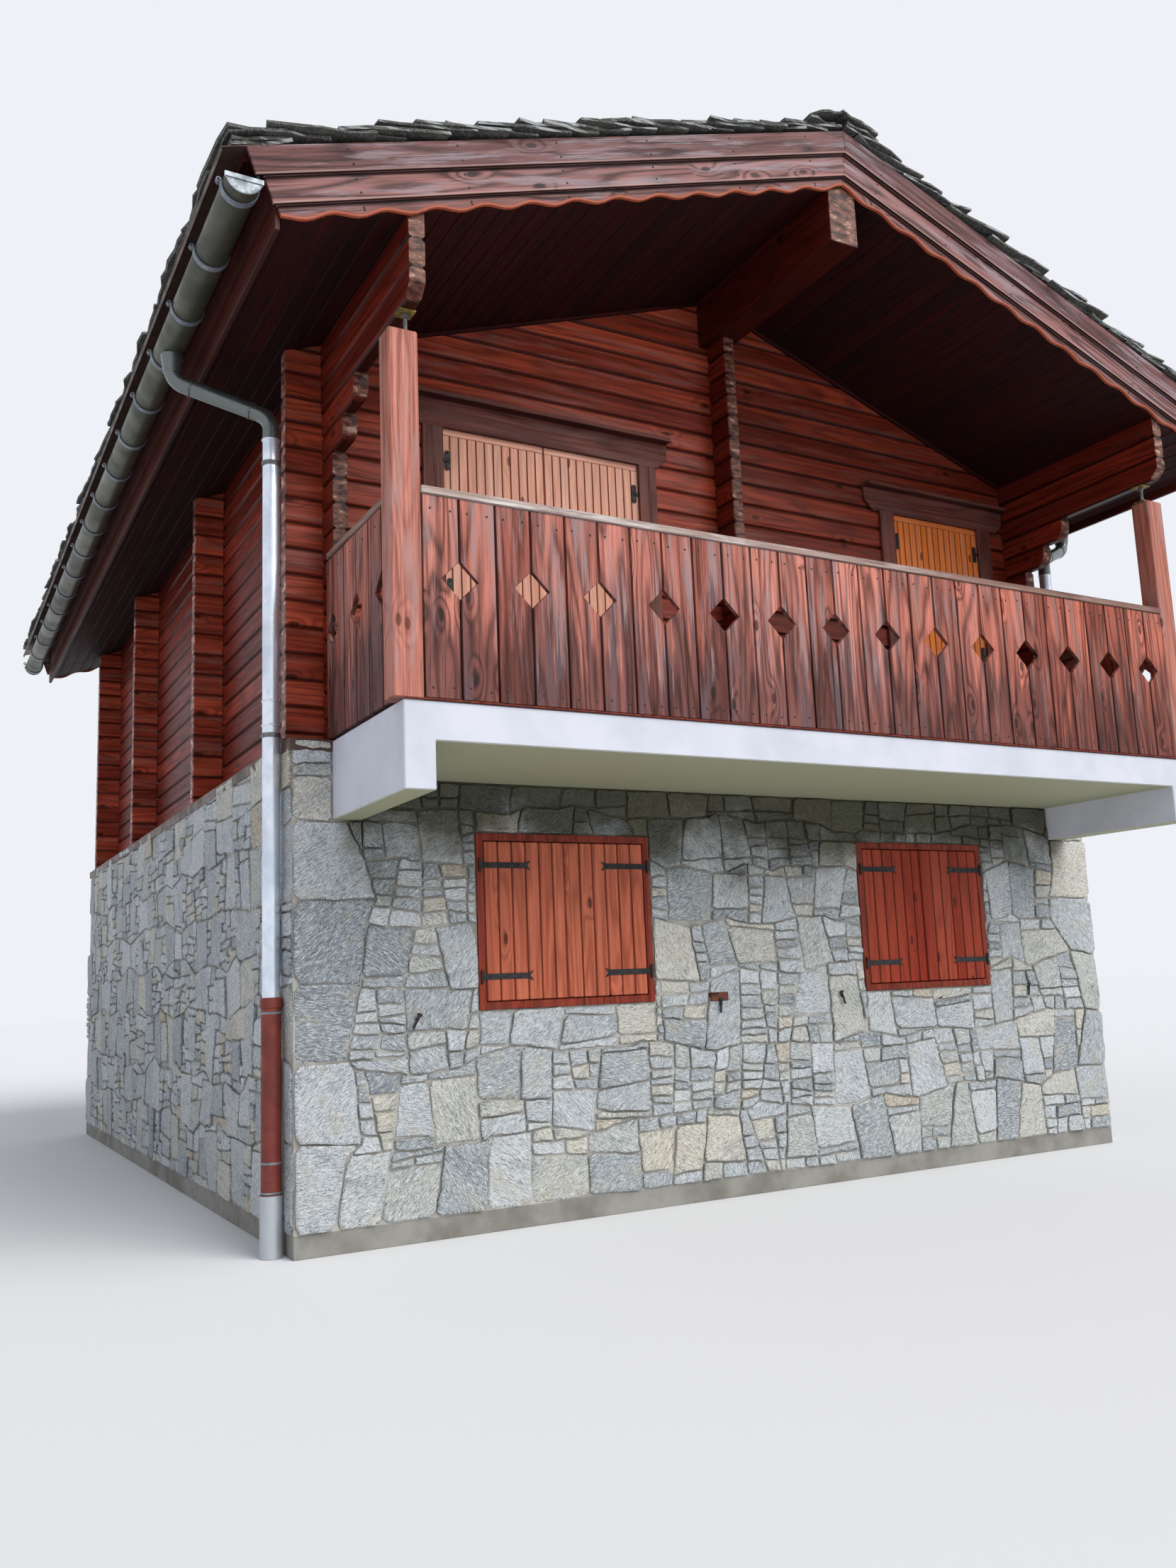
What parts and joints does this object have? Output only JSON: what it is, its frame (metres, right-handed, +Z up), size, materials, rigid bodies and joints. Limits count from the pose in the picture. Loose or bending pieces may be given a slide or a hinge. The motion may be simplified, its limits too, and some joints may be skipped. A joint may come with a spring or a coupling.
{
  "type": "alpine chalet",
  "caption": "Small alpine chalet: rubble stone storey under a log storey, front balcony with a pierced board parapet, low gable roof covered in split stone slabs, closed shutters.",
  "frame": {"origin": "on the ground under the middle of the stone storey's footprint", "axes": "+X to the right of someone facing the balcony, +Y from the balcony into the house along the ridge, +Z up"},
  "size_m": [7.782, 9.815, 6.7681],
  "materials": {
    "concrete": "rough, cast",
    "painted_concrete": "matt white paint",
    "rubble_stone": "rough split faces with grey mortar",
    "roof_stone": "rough split slabs",
    "log": "stained, satin",
    "soffit_board": "stained, satin",
    "barge_board": "stained, weathered",
    "balcony_wood": "stained, weathered",
    "dark_wood": "stained, satin",
    "orange_wood": "stained, satin",
    "red_wood": "stained, satin",
    "aged_zinc": "dull, weathered",
    "bright_zinc": "satin",
    "brown_sheet": "satin",
    "painted_iron": "matt paint",
    "steel_rod": "dull",
    "black_iron": "matt black"
  },
  "bodies": {
    "root": {"ground_slab": "concrete", "front_stone_wall": "rubble_stone", "back_stone_wall": "rubble_stone", "left_stone_wall": "rubble_stone", "right_stone_wall": "rubble_stone", "floor_slab": "painted_concrete", "masonry_flashing": "brown_sheet", "front_log_wall": "log", "back_log_wall": "log", "left_log_wall": "log", "right_log_wall": "log", "left_wall_stubs": "log", "right_wall_stubs": "log", "centre_wall_stub": "log", "ridge_purlin": "log", "left_roof_panel": "soffit_board", "right_roof_panel": "soffit_board", "eaves_fascias": "soffit_board", "front_barge_boards": "barge_board", "back_barge_boards": "barge_board", "left_roof_stones": "roof_stone", "right_roof_stones": "roof_stone", "ridge_stones": "roof_stone", "left_gutter": "aged_zinc", "right_gutter": "aged_zinc", "gutter_brackets": "aged_zinc", "left_downpipe": "bright_zinc", "right_downpipe": "bright_zinc", "pipe_sleeves": "painted_iron", "pipe_clamps": "bright_zinc", "left_balcony_post": "balcony_wood", "right_balcony_post": "balcony_wood", "post_jacks": "steel_rod", "front_parapet": "balcony_wood", "left_parapet": "balcony_wood", "right_parapet": "balcony_wood", "parapet_battens": "balcony_wood", "handrails": "balcony_wood", "door_casings": "dark_wood", "door_shutters": "orange_wood", "front_window_frames": "dark_wood", "front_window_shutters": "red_wood", "back_window_frames": "dark_wood", "back_window_shutters": "red_wood", "shutter_hinges": "black_iron"}
  },
  "joints": []
}
